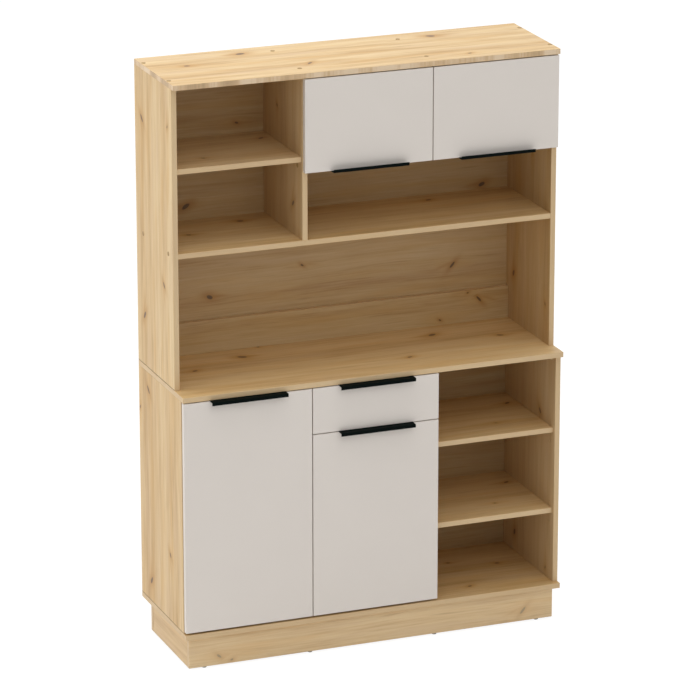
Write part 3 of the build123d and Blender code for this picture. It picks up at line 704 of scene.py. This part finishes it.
def screw_head():
    """One pan head on the origin, facing up, with a cross sunk into it."""
    bpy.ops.object.select_all(action="DESELECT")
    bpy.ops.mesh.primitive_cylinder_add(
        vertices=screw_sides, radius=screw_radius, depth=screw_height, location=(0, 0, screw_height / 2)
    )
    head = bpy.context.object
    bpy.ops.object.transform_apply(location=True)
    pick(head, "EDGE", screw_height / 2)
    bpy.ops.mesh.bevel(offset=screw_round, segments=3)
    bpy.ops.object.mode_set(mode="OBJECT")
    for length, width in ((recess_length, recess_width), (recess_width, recess_length)):
        bpy.ops.object.select_all(action="DESELECT")
        bpy.ops.mesh.primitive_cube_add(size=1.0, location=(0, 0, screw_height))
        slot_cutter = bpy.context.object
        slot_cutter.scale = (length, width, recess_height)
        bpy.context.view_layer.objects.active = head
        cut = head.modifiers.new("cross", "BOOLEAN")
        cut.operation = "DIFFERENCE"
        cut.object = slot_cutter
        bpy.ops.object.modifier_apply(modifier=cut.name)
        bpy.data.objects.remove(slot_cutter)
    return head


def solids(node):
    """The box of each separate solid of a CAD piece, as its lowest and highest corner."""
    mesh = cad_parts[node].data
    points = [tuple(round(part, 6) for part in vertex.co) for vertex in mesh.vertices]
    leader = {point: point for point in points}

    def lead(point):
        while leader[point] != point:
            point = leader[point]
        return point

    for face in mesh.polygons:
        first = lead(points[face.vertices[0]])
        for corner in face.vertices[1:]:
            leader[lead(points[corner])] = first
    groups = {}
    for point in leader:
        groups.setdefault(lead(point), []).append(point)
    boxes = [(Vector(map(min, zip(*group))), Vector(map(max, zip(*group)))) for group in groups.values()]
    return sorted(boxes, key=lambda box: tuple(box[0]))


def fix_copies(name, pattern, places, body):
    """Copies of one small piece, each at a spot and facing a way, joined to one piece on a body."""
    bpy.ops.object.select_all(action="DESELECT")
    for spot, way in places:
        copy = pattern.copy()
        copy.data = pattern.data.copy()
        bpy.context.collection.objects.link(copy)
        turned = Vector(way).to_track_quat("Z", "Y").to_matrix().to_4x4()
        copy.matrix_world = Matrix.Translation(spot) @ turned
        copy.select_set(True)
        bpy.context.view_layer.objects.active = copy
    bpy.ops.object.join()
    bpy.ops.object.transform_apply(location=True, rotation=True, scale=True)
    piece = bpy.context.object
    piece.name = name
    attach(piece, body)
    return piece


hinge_screw = screw_head()
hinge_screw.data.materials.append(nickel.material)
cup_screw_offset = 0.0215
wing_middle = 0.0035
plate_screw_offset = 0.0205
plate_half_length = 0.017
wing_sheet = 0.002
backward = Vector((0, 1, 0))
left_door_inward = Vector((1, 0, 0))
middle_door_inward = Vector((-1, 0, 0))
downward = Vector((0, 0, -1))
for front, inward in (
    ("left_door", left_door_inward),
    ("middle_door", middle_door_inward),
    ("flap_left", downward),
    ("flap_right", downward),
):
    along_hinge = inward.cross(backward)
    places = []
    for low, high in solids(front + "_hinge_cups"):
        wing = (low + high) / 2 + inward * wing_middle
        wing.y = high.y
        for side in (-1, 1):
            places.append((wing + along_hinge * (side * cup_screw_offset), backward))
    fix_copies(front + "_hinge_screws", hinge_screw, places, front)
places = []
for node in ("door_hinge_arms", "flap_hinge_arms"):
    for low, high in solids(node):
        plate = (low + high) / 2
        plate.y = high.y - plate_half_length
        if node == "flap_hinge_arms":
            inward = downward
            plate.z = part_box("hutch_top")[0].z - wing_sheet
        elif plate.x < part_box("middle_door")[0].x:
            inward = left_door_inward
            plate.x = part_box("base_left_side")[1].x + wing_sheet
        else:
            inward = middle_door_inward
            plate.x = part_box("base_divider_right")[0].x - wing_sheet
        along_hinge = inward.cross(backward)
        for side in (-1, 1):
            places.append((plate + along_hinge * (side * plate_screw_offset), inward))
fix_copies("hinge_plate_screws", hinge_screw, places, "carcass")

# Drawer box: thin boards in a pale linen-look foil round a fibreboard bottom.
# It runs on telescopic slides of zinc-plated steel channel.
foil_pale = (0.76, 0.72, 0.66)
foil_dull = (0.68, 0.64, 0.58)
warp_rates = (30.0, 900.0)
weft_rates = (900.0, 30.0)
weave_levels = (0.4, 0.6)
weave_depth = 0.00003
foil_shine = 0.35
foil_smoothest = 0.4
foil_roughening = 0.2


def foil_finish(name, bare_below):
    """Pale foil with a fine linen weave; a sheet may be bare fibreboard below."""
    finish = Finish(name, Specular_IOR_Level=foil_shine)
    spot = finish.spot()
    first = spot[X] if bare_below else spot[X] + spot[Y]
    second = spot[Y] if bare_below else spot[Z]
    warp = finish.layer(first, second, warp_rates, seed=1.0, detail=2.0)
    weft = finish.layer(first, second, weft_rates, seed=2.0, detail=2.0)
    weave = warp * 0.5 + weft * 0.5
    colour = finish.blend(finish.rise(weave, *weave_levels), foil_pale, foil_dull)
    if bare_below:
        below = -edge_turn - finish.facing().output("Z") > 0.0
        colour = finish.blend(below, colour, finish.blend(weave, fibre_brown, fibre_tan))
    finish.feed("Base Color", colour)
    finish.feed("Roughness", weave * foil_roughening + foil_smoothest)
    finish.relief(weave, weave_depth)
    return finish


dress(foil_finish("drawer_foil", False), "drawer_sides", "drawer_back_board")
dress(foil_finish("drawer_sheet", True), "drawer_bottom")
dress(zinc, "slide_outer_members", "slide_middle_members", "slide_inner_members")

# Struts: gas springs that hold the flaps up, a black painted tube with a hard chromed rod.
# Both ends turn on studs of pressed zinc-plated brackets.
tube_black = (0.016, 0.016, 0.018)
tube_dull = (0.028, 0.028, 0.03)
chrome_bright = (0.80, 0.80, 0.81)
chrome_dull = (0.70, 0.71, 0.73)
tube_paint = moulded_finish("tube_paint", tube_black, tube_dull, roughness=0.4)
rod_chrome = moulded_finish("rod_chrome", chrome_bright, chrome_dull, roughness=0.16, Metallic=1.0)
dress(tube_paint, "strut_left_tube", "strut_right_tube")
dress(rod_chrome, "strut_left_rod", "strut_right_rod")
dress(zinc, "flap_left_strut_bracket", "flap_right_strut_bracket", "strut_side_brackets")
bracket_screw = screw_head()
bracket_screw.data.materials.append(zinc.material)
bracket_sheet = 0.002
flap_screw_inset = 0.008
bracket_screw_offset = 0.0105
for flap in ("flap_left", "flap_right"):
    low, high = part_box(flap + "_strut_bracket")
    x = high.x - flap_screw_inset if flap == "flap_left" else low.x + flap_screw_inset
    plate = Vector((x, low.y + bracket_sheet, (low.z + high.z) / 2))
    places = [(plate + Vector((0, 0, side * bracket_screw_offset)), backward) for side in (-1, 1)]
    fix_copies(flap + "_bracket_screws", bracket_screw, places, flap)
places = []
for (low, high), way in zip(solids("strut_side_brackets"), (1, -1)):
    x = low.x + bracket_sheet if way > 0 else high.x - bracket_sheet
    plate = Vector((x, (low.y + high.y) / 2, (low.z + high.z) / 2))
    for side in (-1, 1):
        places.append((plate + Vector((0, side * bracket_screw_offset, 0)), Vector((way, 0, 0))))
fix_copies("side_bracket_screws", bracket_screw, places, "carcass")
for pattern in (hinge_screw, bracket_screw):
    bpy.data.objects.remove(pattern)

# Screw caps: thin tan plastic discs pressed over the heads of the carcass screws.
# Each has a raised rim round a shallow dish; the rim's darker brown is painted shade.
cap_tan = (0.47, 0.30, 0.12)
cap_dull = (0.40, 0.25, 0.10)
rim_shade_brown = (0.36, 0.22, 0.08)
rim_shade_dark = (0.28, 0.165, 0.06)
cap_sides = 36
cap_round = 0.0003
rim_width = 0.0011
dish_slope = 0.0003
dish_depth = 0.0004
flat_tolerance = 0.00005
cap_boxes = solids("screw_caps")
cap_radius = max(cap_boxes[0][1] - cap_boxes[0][0]) / 2
cap_height = min(cap_boxes[0][1] - cap_boxes[0][0])
bpy.ops.object.select_all(action="DESELECT")
bpy.ops.mesh.primitive_cylinder_add(
    vertices=cap_sides, radius=cap_radius, depth=cap_height, location=(0, 0, cap_height / 2)
)
cap = bpy.context.object
bpy.ops.object.transform_apply(location=True)
# Painted shade: the rim gets a darker brown than the dish
cap.data.materials.append(moulded_finish("cap_rim_painted_shade", rim_shade_brown, rim_shade_dark, roughness=0.45).material)
cap.data.materials.append(moulded_finish("cap_tan", cap_tan, cap_dull, roughness=0.5).material)
pick(cap, "EDGE", cap_height / 2)
bpy.ops.mesh.bevel(offset=cap_round, segments=2)
pick(cap, "FACE", cap_height - flat_tolerance)
bpy.ops.mesh.inset(thickness=rim_width)
bpy.ops.mesh.inset(thickness=dish_slope)
bpy.ops.transform.translate(value=(0, 0, -dish_depth))
cap.active_material_index = 1
bpy.ops.object.material_slot_assign()
bpy.ops.object.mode_set(mode="OBJECT")
places = []
for low, high in cap_boxes:
    middle = (low + high) / 2
    size = high - low
    axis = min((X, Y, Z), key=lambda part: size[part])
    way = Vector((0, 0, 0))
    way[axis] = 1 if middle[axis] > 0 else -1
    places.append((middle - way * (cap_height / 2), way))
caps = fix_copies("screw_caps_dished", cap, places, "carcass")
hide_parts("screw_caps")
bpy.data.objects.remove(cap)

# Studio: a plain white floor in soft air that brightens overhead.
# Three large square lamps hang over the cabinet, to its left and in front.
floor_size = 60.0
bpy.ops.object.select_all(action="DESELECT")
bpy.ops.mesh.primitive_plane_add(size=floor_size, location=(0, 0, 0))
floor = bpy.context.object
floor.name = "floor"
white = (1.0, 1.0, 1.0, 1.0)
floor_paint = (0.9, 0.9, 0.9, 1.0)
floor_shade = (0.22, 0.22, 0.22, 1.0)
floor_glow = 0.88
air_glow = 0.22
air_glow_overhead = 0.7


def seen_ray(web):
    """1 on rays that show the background: to the camera, off metal or through glass."""
    path = web.node("ShaderNodeLightPath", output="Is Camera Ray")
    either = path.math("MAXIMUM", path, path.output("Is Glossy Ray"))
    return either.math("MAXIMUM", either, path.output("Is Transmission Ray"))


floor_white = Finish("floor_white", Base_Color=floor_paint, Roughness=0.9, Specular_IOR_Level=0.0)
glow = floor_white.node("ShaderNodeEmission", inputs={"Color": white, "Strength": floor_glow})
shade = floor_white.node("ShaderNodeBsdfDiffuse", inputs={"Color": floor_shade})
shown = floor_white.node("ShaderNodeAddShader", inputs={0: glow, 1: shade})
plain = Wire(floor_white, floor_white.main.outputs[0])
surface = floor_white.node("ShaderNodeMixShader", inputs={0: seen_ray(floor_white), 1: plain, 2: shown})
floor_white.feed("Surface", surface, floor_white.tree.nodes["Material Output"])
floor.data.materials.append(floor_white.material)

world = bpy.data.worlds.new("studio_air")
bpy.context.scene.world = world
world.use_nodes = True
air = Web(world.node_tree, "World Output")
toward = air.node("ShaderNodeTexCoord", output="Generated")
height = air.node("ShaderNodeSeparateXYZ", inputs={0: toward}, output="Z")
height = height.math("MAXIMUM", height, 0.0)
strength = height * air_glow_overhead + air_glow
light = air.node("ShaderNodeBackground", inputs={"Color": white, "Strength": strength})
backdrop = air.node("ShaderNodeBackground", inputs={"Color": white, "Strength": 1.0})
air.feed("Surface", air.node("ShaderNodeMixShader", inputs={0: seen_ray(air), 1: light, 2: backdrop}))

lamp_aim = Vector((0.0, 0.0, 0.9))
lamp_size = 4.0
for name, place, power in (
    ("lamp_over", (-0.6, 0.2, 5.5), 88.0),
    ("lamp_left", (-6.0, 1.6, 3.4), 100.0),
    ("lamp_front", (-0.3, -5.2, 5.0), 42.0),
):
    bpy.ops.object.light_add(type="AREA", location=place)
    lamp = bpy.context.object
    lamp.name = name
    lamp.data.shape = "SQUARE"
    lamp.data.size = lamp_size
    lamp.data.energy = power
    lamp.rotation_euler = (lamp_aim - Vector(place)).to_track_quat("-Z", "Y").to_euler()

# Camera: a long lens from the left and a little above, aimed at the middle of the cabinet
view_azimuth = radians(-21.40)
view_elevation = radians(17.81)
view_distance = 13.096
view_target = Vector((-0.00527, 0.00855, 0.8702))
focal_pixels = 4411.5
frame_pixels = 700.0
away = Vector(
    (
        sin(view_azimuth) * cos(view_elevation),
        -cos(view_azimuth) * cos(view_elevation),
        sin(view_elevation),
    )
)
bpy.ops.object.camera_add(location=view_target + away * view_distance)
camera = bpy.context.object
camera.rotation_euler = (-away).to_track_quat("-Z", "Y").to_euler()
camera.data.sensor_width = 36.0
camera.data.lens = camera.data.sensor_width * focal_pixels / frame_pixels
bpy.context.scene.camera = camera
bpy.context.scene.view_settings.view_transform = "Standard"
